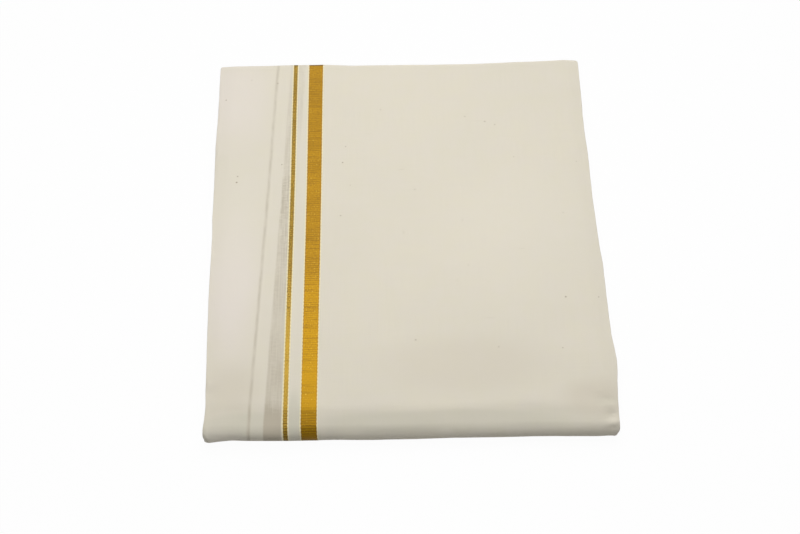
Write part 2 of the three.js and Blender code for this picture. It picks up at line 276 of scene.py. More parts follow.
@dataclass(frozen=True)
class Settling:
    """Moves points of the straight packet to where they lie in the settled one."""

    packet: Packet

    def shoulder_loss(self, x: float, from_near: float) -> float:
        """Returns the share of the height lost to the shoulder by the near roll."""
        start = look_up(SHOULDER, x / MM) * MM
        down = min(max((start - from_near) / start, 0.0), 1.0)
        soft = self.packet.shoulder_softness
        ramp = down * down / (2 * soft) if down < soft else down - soft / 2
        return look_up(SHOULDER, x / MM, 2) * ramp / (1 - soft / 2)

    def height_share(self, x: float, y: float) -> float:
        """Returns the share of the full height that the packet keeps over a point."""
        packet = self.packet
        from_near = y + packet.half_length
        from_far = packet.half_length - y
        from_side = max(packet.half_width - abs(x), 0.0)
        share = 1.0
        share -= packet.near_slope * fade(from_near, packet.near_slope_length)
        share -= self.shoulder_loss(x, from_near)
        share -= packet.far_drop * fade(from_far, packet.far_drop_length)
        share -= packet.side_droop * fade(from_side, packet.side_droop_length)
        for swell in SWELLS:
            across_swell = fade(x - swell.x, swell.reach_x)
            share += swell.rise * across_swell * fade(y - swell.y, swell.reach_y)
        return share

    @staticmethod
    def corner_inset(from_end: float, radius: float) -> float:
        """Returns the inset that rounds a corner, by the distance from its end."""
        if from_end >= radius:
            return 0.0
        reach = radius - max(from_end, 0.0)
        return radius - math.sqrt(max(radius * radius - reach * reach, 0.0))

    def settle(self, x: float, y: float, z: float) -> Vector:
        """Returns the settled place of a point."""
        packet = self.packet
        from_near = y + packet.half_length
        from_far = packet.half_length - y
        corner = self.corner_inset(from_near, packet.near_corner)
        corner += self.corner_inset(from_far, packet.far_corner)
        side, outward = (LEFT_EDGE, -1.0) if x < 0 else (RIGHT_EDGE, 1.0)
        side_out = look_up(side, from_near / MM) * MM - corner
        side_out *= fade(max(packet.half_width - abs(x), 0.0), packet.side_zone)
        far_out = look_up(FAR_EDGE, x / MM) * MM * fade(from_far, packet.end_zone)
        near_out = look_up(NEAR_EDGE, x / MM) * MM * fade(from_near, packet.end_zone)
        settled_z = z * self.height_share(x, y)
        return Vector((x + outward * side_out, y + far_out - near_out, settled_z))


def meeting_x(packet: Packet, stretch: float) -> float:
    """Returns the x of the line where the two flaps meet, on a stretch of the path."""
    return -packet.half_width + look_up(MEETING_LINE, stretch) * MM


def flap_width() -> float:
    """Width of the bordered flap at the near end of the top."""
    return look_up(MEETING_LINE, 1.0) * MM


# ---- The folded path, seen from the packet's side ----


# How far up a station's inward direction points at the least, where its outer face looks down.
FACING_DOWN = 0.5


@dataclass(frozen=True)
class Station:
    """One place on the outer face of the folded path."""

    y: float
    z: float
    inward_y: float
    inward_z: float
    stretch: float
    along: float = 0.0

    @property
    def faces_down(self) -> bool:
        """Whether the cloth's outer face looks down here, and not up or sideways."""
        return self.inward_z > FACING_DOWN


@dataclass(frozen=True)
class FlatRun:
    """A flat stretch of the path at one height."""

    from_y: float
    to_y: float
    z: float
    inward_z: float
    stretches: tuple[float, float]
    step: float

    @property
    def length(self) -> float:
        """Length of the stretch."""
        return abs(self.to_y - self.from_y)

    def at(self, share: float) -> Station:
        """Returns the station a share of the way along."""
        y = mix(self.from_y, self.to_y, share)
        return Station(y, self.z, 0.0, self.inward_z, mix(*self.stretches, share))


@dataclass(frozen=True)
class HalfTurn:
    """A half-turn of the path round a centre."""

    centre_y: float
    centre_z: float
    radius: float
    from_degrees: float
    stretches: tuple[float, float]
    step: float

    @property
    def length(self) -> float:
        """Length round the turn."""
        return math.pi * self.radius

    def at(self, share: float) -> Station:
        """Returns the station a share of the way round."""
        angle = math.radians(self.from_degrees + 180.0 * share)
        out_y, out_z = math.cos(angle), math.sin(angle)
        y = self.centre_y + self.radius * out_y
        z = self.centre_z + self.radius * out_z
        return Station(y, z, -out_y, -out_z, mix(*self.stretches, share))


@dataclass(frozen=True)
class FoldSteps:
    """How far apart the rows of points lie on each stretch of the path."""

    top: float
    hidden: float
    turn: float


@dataclass(frozen=True)
class FoldedPath:
    """The path of the outer ribbon's face, from the top panel's turned end to the inner end."""

    packet: Packet
    steps: FoldSteps

    def wrap(self) -> HalfTurn:
        """Turn round the far end of the top panel."""
        radius = self.packet.end_radius
        centre_z = self.packet.height - radius
        start = TOP_SPAN[0]
        return HalfTurn(
            self.packet.end_y, centre_z, radius, -90.0, (start, start), self.steps.turn
        )

    def letter_fold(self) -> list[FlatRun | HalfTurn]:
        """The top, near roll, bottom, far roll and inner run, in order."""
        steps = self.steps
        near_y, far_y, panel = self.packet.near_y, self.packet.far_y, self.packet.panel
        near, top_z = self.packet.near_radius, self.packet.height
        return [
            FlatRun(self.packet.end_y, near_y, top_z, -1.0, TOP_SPAN, steps.top),
            HalfTurn(near_y, near, near, 90.0, NEAR_ROLL_SPAN, steps.turn),
            FlatRun(near_y, far_y, 0.0, 1.0, BOTTOM_SPAN, steps.hidden),
            HalfTurn(far_y, panel, panel, -90.0, FAR_ROLL_SPAN, steps.turn),
            FlatRun(far_y, near_y, 2 * panel, -1.0, INNER_SPAN, steps.hidden),
        ]

    def inner_turn(self) -> HalfTurn:
        """Turn that joins the first two ribbons at the inner panel's near end."""
        packet = self.packet
        radius = packet.ribbon - packet.gap / 2
        centre_z = 2 * packet.panel - radius
        end = INNER_SPAN[1]
        return HalfTurn(packet.near_y, centre_z, radius, 90.0, (end, end), self.steps.turn)

    def stations(self, with_wrap: bool, with_inner_turn: bool) -> list[Station]:
        """Lists the stations along the path.

        Args:
            with_wrap: whether the path starts round the top panel's far end.
            with_inner_turn: whether it ends round the first two ribbons' joined end.

        Returns:
            The stations, with their distance along the path from the start of the top.
        """
        segments: list[FlatRun | HalfTurn] = self.letter_fold()
        start = 0.0
        if with_wrap:
            segments.insert(0, self.wrap())
            start = -self.wrap().length
        if with_inner_turn:
            segments.append(self.inner_turn())
        stations = []
        for segment in segments:
            count = max(1, math.ceil(segment.length / segment.step))
            last = segment is segments[-1]
            for index in range(count + 1 if last else count):
                along = start + segment.length * index / count
                stations.append(replace(segment.at(index / count), along=along))
            start += segment.length
        return stations


# ---- Creases and unevenness of the outer ribbon ----


@dataclass(frozen=True)
class Crease:
    """One soft ridge or trough on the cloth.

    x is across the packet, along is the distance down the path from the far end of the top, and
    degrees turns the crease from across the packet towards along it. A ridge has a positive rise.
    """

    x: float
    along: float
    degrees: float
    length: float
    width: float
    rise: float
    bend: float = 0.0

    def height(self, x: float, along: float) -> float:
        """Returns how far the crease lifts the cloth at a place."""
        reach = self.length + self.width
        off_x = x - self.x
        off_along = along - self.along
        if abs(off_x) > reach or abs(off_along) > reach:
            return 0.0
        angle = math.radians(self.degrees)
        lengthwise = off_x * math.cos(angle) + off_along * math.sin(angle)
        crosswise = off_along * math.cos(angle) - off_x * math.sin(angle)
        half = self.length / 2
        if abs(lengthwise) > half:
            return 0.0
        share = lengthwise / half
        crosswise -= self.bend * (1.0 - share * share)
        return self.rise * fade(share, 1.0) * math.exp(-((crosswise / self.width) ** 2))


# x, along, degrees, length, width, rise and bend of each crease. Lengths are in millimetres.
CREASE_TABLE = (
    # Pinched side fold by the near right corner.
    (155.5, 317.5, 3, 24, 1.4, 1.8, 0.4), (156, 331, -10, 24, 1.9, 0.75, -0.5),
    (154.5, 324.6, 0, 24, 2.9, -1.3, 0), (150, 312, 8, 34, 2.5, -1, 0.8),
    (156, 335, -4, 18, 2.4, -0.4, 0), (140, 302, 16, 42, 5, 0.2, 2),
    # Faint presses across the top.
    (-12, 62, -1, 150, 0.9, 0.07, 0.6), (86, 96, 3, 90, 3, -0.1, 1.5),
    (52, 205, -8, 110, 4.5, -0.14, 4), (112, 236, 12, 84, 5, 0.16, -3),
    (-20, 262, 5, 120, 5.5, 0.14, 2.5), (-118, 226, 14, 58, 5, 0.16, 2),
    (-128, 128, 82, 120, 6, -0.12, 2), (138, 150, 86, 160, 7, 0.18, -2),
    # Uneven shoulder and near roll.
    (-128, 319, 2, 60, 5, -0.35, 1), (-30, 322, -2, 110, 5, -0.3, -1.5),
    (96, 320, 3, 92, 4.5, -0.34, 1.2), (-124, 336.8, 1, 116, 5.4, 1.75, 0.4),
    (-38, 337, -1, 120, 5, 0.1, 0.5), (50, 336.5, 1, 120, 4.8, 0.8, -0.4),
    (-47, 337.5, 0, 24, 4.5, 0.5, 0), (-62, 343, 3, 60, 3.6, -0.35, 0.8),
    (22, 343, -2, 88, 3.4, 0.4, -1), (110, 344, 2, 80, 3.8, -0.5, 1.2),
    (-24, 350, -1, 74, 3.4, -0.42, 0.6), (60, 352, 2, 60, 3, 0.36, 0),
    (-150, 341.8, 4, 46, 3.4, 0.85, 0), (148, 349, -20, 28, 3, -0.4, 0),
    # Side folds of the top, pinched here and there.
    (-156, 296, -8, 20, 2.4, 0.45, 0.4), (-155.5, 303, 3, 18, 2.2, -0.4, 0),
    (-156, 182, 6, 14, 2.8, -0.3, 0), (-156, 88, -5, 16, 3, 0.28, 0.3),
    (155.5, 214, 5, 16, 3, -0.32, 0), (155, 84, -7, 20, 2.8, 0.3, 0.5),
    (155.5, 36, 4, 14, 2.4, -0.35, 0),
    # Similar presses and pinches of the underside.
    (-40, 420, 6, 130, 4.5, -0.22, 3), (84, 470, -9, 100, 5, -0.26, -3),
    (10, 556, 4, 150, 4, -0.2, 2), (-110, 602, 80, 90, 5, -0.24, 2),
    (120, 622, -12, 60, 4, -0.28, 1), (156, 392, 6, 22, 2.4, -0.75, 0.5),
    (156, 403, -4, 18, 2.2, -0.5, 0), (-156, 520, 8, 20, 2.6, -0.45, 0),
    (-155, 655, -6, 22, 2.4, -0.5, 0.3),
    # Uneven far roll.
    (-90, 690, 2, 80, 3, -0.4, 0.6), (40, 694, -2, 110, 3.2, 0.35, -0.8),
    (128, 688, 3, 60, 2.8, -0.42, 0),
)


def crease_from(row: tuple[float, ...]) -> Crease:
    """Returns the crease that a row of the table gives, in metres."""
    x, along, degrees, length, width, rise, bend = row
    return Crease(x * MM, along * MM, degrees, length * MM, width * MM, rise * MM, bend * MM)


@dataclass(frozen=True)
class Relief:
    """How the outer ribbon's cloth departs from its smooth form."""

    creases: tuple[Crease, ...]
    broad_wave: float = 74 * MM
    broad_rise: float = 0.34 * MM
    fine_wave: float = 23 * MM
    fine_rise: float = 0.09 * MM
    fine_layer: float = 3.7

    def height(self, x: float, along: float) -> float:
        """Returns how far the cloth stands out of its smooth form at a place."""
        total = self.broad_rise * ripple(x, along, self.broad_wave)
        total += self.fine_rise * ripple(x, along, self.fine_wave, self.fine_layer)
        for crease in self.creases:
            total += crease.height(x, along)
        return total


# ---- Sheets of cloth ----


class Lane(Enum):
    """A strip of a ribbon's section, in the order that its outer ply passes them."""

    LEFT_FACE = "left face, from the selvedge to the left side"
    LEFT_TURN = "left side fold"
    BACK = "back, from the left side to the right side"
    RIGHT_TURN = "right side fold"
    RIGHT_FACE = "right face, from the right side to the long fold"
    LONG_FOLD = "long fold, where the cloth is doubled"
    UNDER_FACE = "ply under the right face"


@dataclass(frozen=True)
class Column:
    """A line of points down the cloth, a share of the way across its lane."""

    lane: Lane
    share: float


@dataclass(frozen=True)
class SideEdge:
    """How far in a ribbon's side folds sit on each panel, and how they wander."""

    top: float
    bottom: float
    inner: float
    wave: float
    wave_length: float
    phase: float

    def inset(self, station: Station) -> float:
        """Returns the side fold's inset at a station."""
        rows = (
            (TOP_SPAN[1], self.top),
            (BOTTOM_SPAN[0], self.bottom),
            (BOTTOM_SPAN[1], self.bottom),
            (INNER_SPAN[0], self.inner),
        )
        turns = station.y / self.wave_length + self.phase + station.stretch
        wave = self.wave * (0.5 + 0.5 * math.sin(2 * math.pi * turns))
        return look_up(rows, station.stretch) + wave


OUTER_EDGE = SideEdge(0.0, 0.0, 0.0, 0.0, 200 * MM, 0.0)
HIDDEN_EDGES = (
    SideEdge(0.5 * MM, 1.4 * MM, 1.9 * MM, 0.45 * MM, 210 * MM, 0.1),
    SideEdge(1.5 * MM, 0.6 * MM, 0.9 * MM, 0.6 * MM, 265 * MM, 0.45),
    SideEdge(0.8 * MM, 1.7 * MM, 2.3 * MM, 0.5 * MM, 180 * MM, 0.8),
)


@dataclass(frozen=True)
class Section:
    """A ribbon's section: where each column of its outer ply lies."""

    packet: Packet
    edge: SideEdge
    long_fold_radius: float = 0.34 * MM
    under_reach: float = 5 * MM
    selvedge_overlap: float = 0.75 * MM
    fray: float = 0.16 * MM
    fray_wave: float = 9 * MM

    def side_x(self, station: Station, side: int) -> float:
        """Returns the outward reach of a side fold's centre, for side -1 or 1."""
        uneven = self.fray * ripple(station.along, side * 0.5, self.fray_wave, self.edge.phase)
        inset = self.edge.inset(station) - uneven
        return self.packet.half_width - inset - self.packet.wall / 2

    def place(self, column: Column, station: Station) -> Triple:
        """Finds a point of the section.

        Args:
            column: the lane and the share across it.
            station: the place along the path.

        Returns:
            Its x, its depth under the outer face, and its distance across the cloth from the
            meeting line.
        """
        radius = self.packet.wall / 2
        left = -self.side_x(station, -1)
        right = self.side_x(station, 1)
        meeting = meeting_x(self.packet, station.stretch)
        share = column.share
        lane = column.lane
        if lane is Lane.LEFT_FACE:
            x = mix(meeting + self.selvedge_overlap, left, share)
            return x, 0.0, meeting + self.selvedge_overlap - x
        across_left = meeting + self.selvedge_overlap - left
        if lane is Lane.LEFT_TURN:
            angle = math.pi * share
            x = left - radius * math.sin(angle)
            return x, radius - radius * math.cos(angle), across_left + radius * angle
        if lane is Lane.BACK:
            x = mix(left, right, share)
            return x, 2 * radius, across_left + math.pi * radius + x - left
        long_x = meeting + self.packet.gap / 2 + self.long_fold_radius
        across_right = right - long_x
        if lane is Lane.RIGHT_TURN:
            angle = math.pi * (1.0 - share)
            x = right + radius * math.sin(angle)
            return x, radius - radius * math.cos(angle), across_right + radius * angle
        if lane is Lane.RIGHT_FACE:
            x = mix(right, long_x, share)
            return x, 0.0, x - long_x
        fold = self.long_fold_radius
        if lane is Lane.LONG_FOLD:
            angle = math.pi * share
            x = long_x - fold * math.sin(angle)
            return x, fold - fold * math.cos(angle), -fold * angle
        x = long_x + self.under_reach * share
        return x, 2 * fold, -math.pi * fold - self.under_reach * share


def shares(first: float, last: float, count: int) -> list[float]:
    """Returns evenly spaced shares, both ends included."""
    return [mix(first, last, index / (count - 1)) for index in range(count)]


@dataclass(frozen=True)
class Sheet:
    """A sheet of cloth laid along the folded path, from a flat grid."""

    name: str
    settling: Settling
    section: Section
    stations: Sequence[Station]
    columns: Sequence[Column]
    depth: float
    relief: Relief | None = None
    thickness: float = 0.34 * MM
    selvedge_lift: float = 0.16 * MM
    selvedge_lift_reach: float = 9 * MM

    def lifted(self, column: Column, station: Station, x: float, across: float) -> float:
        """Returns how far a point of the sheet stands out of the smooth form."""
        if self.relief is None:
            return 0.0
        if column.lane not in (Lane.LEFT_FACE, Lane.RIGHT_FACE):
            return 0.0
        total = self.relief.height(x, station.along)
        if column.lane is Lane.LEFT_FACE:
            total += self.selvedge_lift * fade(across, self.selvedge_lift_reach)
        return min(total, 0.0) if station.faces_down else total

    def point(self, column: Column, station: Station) -> tuple[Vector, float]:
        """Returns a point of the laid sheet, and its distance across the cloth."""
        x, depth, across = self.section.place(column, station)
        depth += self.depth - self.lifted(column, station, x, across)
        y = station.y + station.inward_y * depth
        z = station.z + station.inward_z * depth
        settled = self.settling.settle(x, y, max(z, 0.0))
        return settled, across

    def build(self) -> bpy.types.Object:
        """Builds the sheet: a grid in the cloth's own measures, laid and given its thickness."""
        steps_across = len(self.columns) - 1
        steps_along = len(self.stations) - 1
        work = bmesh.new()
        bmesh.ops.create_grid(work, x_segments=steps_across, y_segments=steps_along, size=0.5)
        cloth_map = work.loops.layers.uv.new(CLOTH_MAP)
        measures: dict[bmesh.types.BMVert, tuple[float, float]] = {}
        for vertex in work.verts:
            column = self.columns[round((vertex.co.x + 0.5) * steps_across)]
            station = self.stations[round((vertex.co.y + 0.5) * steps_along)]
            place, across = self.point(column, station)
            measures[vertex] = (across, station.along)
            vertex.co = place
        for face in work.faces:
            face.smooth = True
            for loop in face.loops:
                loop[cloth_map].uv = measures[loop.vert]
        sheet = add_object(self.name, mesh_from(self.name, work))
        shell = sheet.modifiers.new("thickness", "SOLIDIFY")
        shell.thickness = self.thickness
        shell.offset = -1.0
        return sheet


def columns_of(*lanes: tuple[Lane, Sequence[float]]) -> list[Column]:
    """Returns the columns of lanes in a row, each of which starts where the last one ends."""
    columns = []
    for lane, spaced in lanes:
        skipped = 1 if columns else 0
        columns += [Column(lane, share) for share in spaced[skipped:]]
    return columns


@dataclass(frozen=True)
class OuterRibbon:
    """The two stretches of the outermost ribbon: the bordered flap and the plain flap."""

    packet: Packet
    face_step: float = 2.5 * MM
    back_step: float = 18 * MM
    selvedge_step: float = 0.12 * MM
    turn_points: int = 9
    fold_points: int = 7
    parting_share: float = 0.002
    steps: FoldSteps = FoldSteps(top=3.0 * MM, hidden=6.0 * MM, turn=1.1 * MM)

    def sheet(self, name: str, columns: Sequence[Column]) -> bpy.types.Object:
        """Builds one stretch of the ribbon from its columns."""
        path = FoldedPath(self.packet, self.steps)
        return Sheet(
            name=name,
            settling=Settling(self.packet),
            section=Section(self.packet, OUTER_EDGE),
            stations=path.stations(with_wrap=True, with_inner_turn=True),
            columns=columns,
            depth=0.0,
            relief=Relief(tuple(crease_from(row) for row in CREASE_TABLE)),
        ).build()

    def meeting_share(self) -> float:
        """Share of the back, from the left, where the border's stretch ends."""
        return flap_width() / self.packet.width

    def border_columns(self) -> list[Column]:
        """Columns from the selvedge over the left side fold to the middle of the back."""
        face_width = flap_width()
        face = shares(0.0, 1.0, math.ceil(face_width / self.face_step) + 1)
        face.insert(1, self.selvedge_step / face_width)
        turn = shares(0.0, 1.0, self.turn_points)
        back_count = math.ceil(face_width / self.back_step) + 1
        back = shares(0.0, self.meeting_share(), back_count)
        return columns_of((Lane.LEFT_FACE, face), (Lane.LEFT_TURN, turn), (Lane.BACK, back))

    def plain_columns(self) -> list[Column]:
        """Columns from the middle of the back over the right side fold to the long fold."""
        face_width = self.packet.width - flap_width()
        back_count = math.ceil(face_width / self.back_step) + 1
        back = shares(self.meeting_share() + self.parting_share, 1.0, back_count)
        turn = shares(0.0, 1.0, self.turn_points)
        face = shares(0.0, 1.0, math.ceil(face_width / self.face_step) + 1)
        fold = shares(0.0, 1.0, self.fold_points)
        return columns_of(
            (Lane.BACK, back),
            (Lane.RIGHT_TURN, turn),
            (Lane.RIGHT_FACE, face),
            (Lane.LONG_FOLD, fold),
            (Lane.UNDER_FACE, (0.0, 1.0)),
        )


@dataclass(frozen=True)
class HiddenRibbons:
    """The ribbons under the outer one, whose side folds show along both sides."""

    packet: Packet
    names: tuple[str, ...] = ("second_ribbon", "third_ribbon", "fourth_ribbon")
    side_reach: float = 12 * MM
    side_points: int = 4
    left_points: int = 3
    middle_points: int = 6
    right_points: int = 4
    turn_points: int = 9
    selvedge_gap: float = 0.3 * MM
    steps: FoldSteps = FoldSteps(top=5.0 * MM, hidden=5.0 * MM, turn=1.2 * MM)

    def columns(self) -> list[Column]:
        """Columns of a whole ribbon, close together near its side folds."""
        width = self.packet.width
        near_side = self.side_points
        left_face = 1.0 - self.side_reach / flap_width()
        right_face = self.side_reach / (width - flap_width())
        back = self.side_reach / width
        turn = shares(0.0, 1.0, self.turn_points)
        left = [
            *shares(0.0, left_face, self.left_points),
            *shares(left_face, 1.0, near_side)[1:],
        ]
        middle = [
            *shares(0.0, back, near_side),
            *shares(back, 1.0 - back, self.middle_points)[1:-1],
            *shares(1.0 - back, 1.0, near_side),
        ]
        right = [
            *shares(0.0, right_face, near_side),
            *shares(right_face, 1.0, self.right_points)[1:],
        ]
        return columns_of(
            (Lane.LEFT_FACE, left),
            (Lane.LEFT_TURN, turn),
            (Lane.BACK, middle),
            (Lane.RIGHT_TURN, turn),
            (Lane.RIGHT_FACE, right),
        )

    def build(self) -> list[bpy.types.Object]:
        """Builds the ribbons from the second to the fourth."""
        path = FoldedPath(self.packet, self.steps)
        return [
            Sheet(
                name=name,
                settling=Settling(self.packet),
                section=Section(self.packet, edge, selvedge_overlap=-self.selvedge_gap),
                stations=path.stations(with_wrap=index == 1, with_inner_turn=False),
                columns=self.columns(),
                depth=index * self.packet.ribbon,
            ).build()
            for index, (name, edge) in enumerate(zip(self.names, HIDDEN_EDGES), start=1)
        ]


# ---- Shader graphs ----

Socket = bpy.types.NodeSocket
Feed = Socket | float | Sequence[float]


@dataclass(frozen=True)
class Ramp:
    """An eased change from one value, where its input is low, to another, where it is high."""

    low: float
    high: float
    at_low: float
    at_high: float


@dataclass(frozen=True)
class Grain:
    """A noise: how often it repeats in a metre across and along the cloth, and its detail."""

    across: float
    along: float
    detail: float = 2.0


class Graph:
    """Adds nodes to a tree and links them by value or by socket."""

    def __init__(self, tree: bpy.types.NodeTree) -> None:
        """Keeps the tree that the nodes go to."""
        self.tree = tree

    def feed(self, socket: Socket, value: Feed) -> None:
        """Links a socket to another, or sets its value."""
        if isinstance(value, bpy.types.NodeSocket):
            self.tree.links.new(value, socket)
        else:
            socket.default_value = value

    def node(
        self, kind: str, feeds: dict[str | int, Feed] | None = None, **settings: object
    ) -> bpy.types.Node:
        """Adds a node.

        Args:
            kind: its type.
            feeds: what its inputs are fed, by their names or numbers.
            settings: its settings, which come before its inputs.

        Returns:
            The node.
        """
        node = self.tree.nodes.new(kind)
        for name, setting in settings.items():
            setattr(node, name, setting)
        for key, value in (feeds or {}).items():
            self.feed(node.inputs[key], value)
        return node

    def math(self, operation: str, first: Feed, second: Feed = 0.0) -> Socket:
        """Adds a Math node and returns its result."""
        feeds = {0: first, 1: second}
        return self.node("ShaderNodeMath", feeds, operation=operation).outputs[0]

    def plus(self, first: Feed, second: Feed) -> Socket:
        """Returns a sum."""
        return self.math("ADD", first, second)

    def less(self, first: Feed, second: Feed) -> Socket:
        """Returns a difference."""
        return self.math("SUBTRACT", first, second)

    def times(self, first: Feed, second: Feed) -> Socket:
        """Returns a product."""
        return self.math("MULTIPLY", first, second)

    def vector_math(
        self, operation: str, first: Feed, second: Feed = (0.0, 0.0, 0.0)
    ) -> bpy.types.Node:
        """Adds a Vector Math node."""
        feeds = {0: first, 1: second}
        return self.node("ShaderNodeVectorMath", feeds, operation=operation)

    def blend(self, share: Feed, first: Feed, second: Feed, how: str = "MIX") -> Socket:
        """Adds a colour Mix node and returns its result."""
        feeds = {"Factor": share, 6: first, 7: second}
        node = self.node("ShaderNodeMix", feeds, data_type="RGBA", blend_type=how)
        return node.outputs[2]

    def blend_value(self, share: Feed, first: Feed, second: Feed) -> Socket:
        """Adds a value Mix node and returns its result."""
        feeds = {"Factor": share, 2: first, 3: second}
        return self.node("ShaderNodeMix", feeds, data_type="FLOAT").outputs[0]

    def remap(
        self, value: Feed, low: Feed, high: Feed, at_low: float, at_high: float
    ) -> Socket:
        """Adds an eased Map Range node and returns its result."""
        feeds = {
            "Value": value,
            "From Min": low,
            "From Max": high,
            "To Min": at_low,
            "To Max": at_high,
        }
        node = self.node("ShaderNodeMapRange", feeds, interpolation_type="SMOOTHSTEP")
        return node.outputs["Result"]

    def ramp(self, value: Socket, ramp: Ramp) -> Socket:
        """Returns a value changed as a ramp says."""
        return self.remap(value, ramp.low, ramp.high, ramp.at_low, ramp.at_high)

    def cloud(self, place: Socket, scale: float, detail: float) -> Socket:
        """Adds a Noise node and returns its value."""
        feeds = {"Vector": place, "Scale": scale, "Detail": detail}
        return self.node("ShaderNodeTexNoise", feeds).outputs["Fac"]

    def grain(self, place: Socket, grain: Grain) -> Socket:
        """Returns a noise that is stretched as a grain says."""
        stretched = self.vector_math("MULTIPLY", place, (grain.across, grain.along, 1.0))
        return self.cloud(stretched.outputs[0], 1.0, grain.detail)

    def group(self, tree: bpy.types.NodeTree, **values: Feed) -> bpy.types.Node:
        """Adds a group node and feeds its inputs by name, with _ for a space."""
        feeds = {name.replace("_", " "): value for name, value in values.items()}
        return self.node("ShaderNodeGroup", feeds, node_tree=tree)


def cleared(holder: bpy.types.Material | bpy.types.World) -> Graph:
    """Returns a graph on the emptied tree of a material or a world."""
    holder.use_nodes = True
    holder.node_tree.nodes.clear()
    return Graph(holder.node_tree)


def new_group(
    name: str, vectors: Sequence[str], values: dict[str, float], results: Sequence[str]
) -> tuple[Graph, bpy.types.Node, bpy.types.Node]:
    """Makes an empty shader group.

    Args:
        name: the group's name.
        vectors: its vector inputs.
        values: its number inputs, and what each is when nothing feeds it.
        results: its outputs, which are numbers.

    Returns:
        A graph on the group, and its input and output nodes.
    """
    tree = bpy.data.node_groups.new(name, "ShaderNodeTree")
    add = tree.interface.new_socket
    for vector in vectors:
        add(vector, in_out="INPUT", socket_type="NodeSocketVector")
    for number, value in values.items():
        add(number, in_out="INPUT", socket_type="NodeSocketFloat").default_value = value
    for result in results:
        add(result, in_out="OUTPUT", socket_type="NodeSocketFloat")
    graph = Graph(tree)
    return graph, graph.node("NodeGroupInput"), graph.node("NodeGroupOutput")


WARP_SLUBS = Grain(1900.0, 26.0)
WEFT_SLUBS = Grain(22.0, 1700.0)
CROSSING_SHADE = 0.42
WAVE_SPACING = math.pi / 10  # How far apart a Wave node's bands are at a scale of 1.
BROAD_CLOUD = (9.0, 1.5)
PATCHY_CLOUD = (62.0, 3.0)
MOTTLE = Ramp(0.3, 0.7, 0.0, 1.0)


def weave_group() -> bpy.types.NodeTree:
    """Plain weave: threads over and under each other, some of them thicker than others."""
    graph, inputs, outputs = new_group(
        "plain_weave",
        ["Place"],
        {"Thread Pitch": 0.42 * MM, "Slub": 0.5},
        ["Height", "Shade"],
    )
    place = inputs.outputs["Place"]
    split = graph.node("ShaderNodeSeparateXYZ", {0: place})
    turns = graph.math("DIVIDE", math.pi, inputs.outputs["Thread Pitch"])
    warp = graph.math("SINE", graph.times(split.outputs["X"], turns))
    weft = graph.math("SINE", graph.times(split.outputs["Y"], turns))
    crossing = graph.times(warp, weft)
    warp_slub = graph.grain(place, WARP_SLUBS)
    weft_slub = graph.grain(place, WEFT_SLUBS)
    slubs = graph.less(graph.plus(warp_slub, weft_slub), 1.0)
    slubs = graph.times(slubs, inputs.outputs["Slub"])
    half = graph.times(crossing, 0.5)
    height = graph.plus(graph.plus(half, 0.5), slubs)
    shade = graph.plus(graph.times(crossing, CROSSING_SHADE), slubs)
    graph.feed(outputs.inputs["Height"], height)
    graph.feed(outputs.inputs["Shade"], shade)
    return graph.tree


def stripe_group() -> bpy.types.NodeTree:
    """A stripe's mask: 1 within half its width of its centre, with soft edges."""
    graph, inputs, outputs = new_group(
        "woven_stripe",
        [],
        {"Across": 0.0, "Centre": 0.0, "Width": 10 * MM, "Softness": 0.1 * MM},
        ["Mask"],
    )
    softness = inputs.outputs["Softness"]
    off = graph.less(inputs.outputs["Across"], inputs.outputs["Centre"])
    off = graph.math("ABSOLUTE", off)
    half = graph.times(inputs.outputs["Width"], 0.5)
    inside = graph.less(half, softness)
    outside = graph.plus(half, softness)
    graph.feed(outputs.inputs["Mask"], graph.remap(off, inside, outside, 1.0, 0.0))
    return graph.tree


def mottle_group() -> bpy.types.NodeTree:
    """Slow changes of tone over the cloth, as unbleached cotton has."""
    graph, inputs, outputs = new_group("cotton_mottle", ["Place"], {}, ["Broad", "Patchy"])
    broad = graph.cloud(inputs.outputs["Place"], *BROAD_CLOUD)
    patchy = graph.cloud(inputs.outputs["Place"], *PATCHY_CLOUD)
    graph.feed(outputs.inputs["Broad"], graph.ramp(broad, MOTTLE))
    graph.feed(outputs.inputs["Patchy"], graph.ramp(patchy, MOTTLE))
    return graph.tree


def spot_group() -> bpy.types.NodeTree:
    """An oval mask: 1 in its core, and 0 from its reach on."""
    graph, inputs, outputs = new_group(
        "cloth_spot", ["Place", "Centre", "Reach"], {"Core": 0.0}, ["Mask"]
    )
    off = graph.vector_math("SUBTRACT", inputs.outputs["Place"], inputs.outputs["Centre"])
    share = graph.vector_math("DIVIDE", off.outputs[0], inputs.outputs["Reach"])
    distance = graph.vector_math("LENGTH", share.outputs[0]).outputs["Value"]
    mask = graph.remap(distance, inputs.outputs["Core"], 1.0, 1.0, 0.0)
    graph.feed(outputs.inputs["Mask"], mask)
    return graph.tree


@dataclass(frozen=True)
class EffectGroups:
    """The shader groups that the finishes share."""

    weave: bpy.types.NodeTree
    stripe: bpy.types.NodeTree
    mottle: bpy.types.NodeTree
    spot: bpy.types.NodeTree

    @classmethod
    def build(cls) -> EffectGroups:
        """Builds each group once."""
        return cls(weave_group(), stripe_group(), mottle_group(), spot_group())

    def mask(
        self, graph: Graph, across: Socket, centre: Feed, width: Feed, softness: float
    ) -> Socket:
        """Adds a stripe to a graph and returns its mask."""
        return graph.group(
            self.stripe, Across=across, Centre=centre, Width=width, Softness=softness
        ).outputs["Mask"]


# ---- Finishes ----


def opaque(colour: Colour) -> tuple[float, float, float, float]:
    """Returns a colour with full alpha."""
    return (*colour, 1.0)


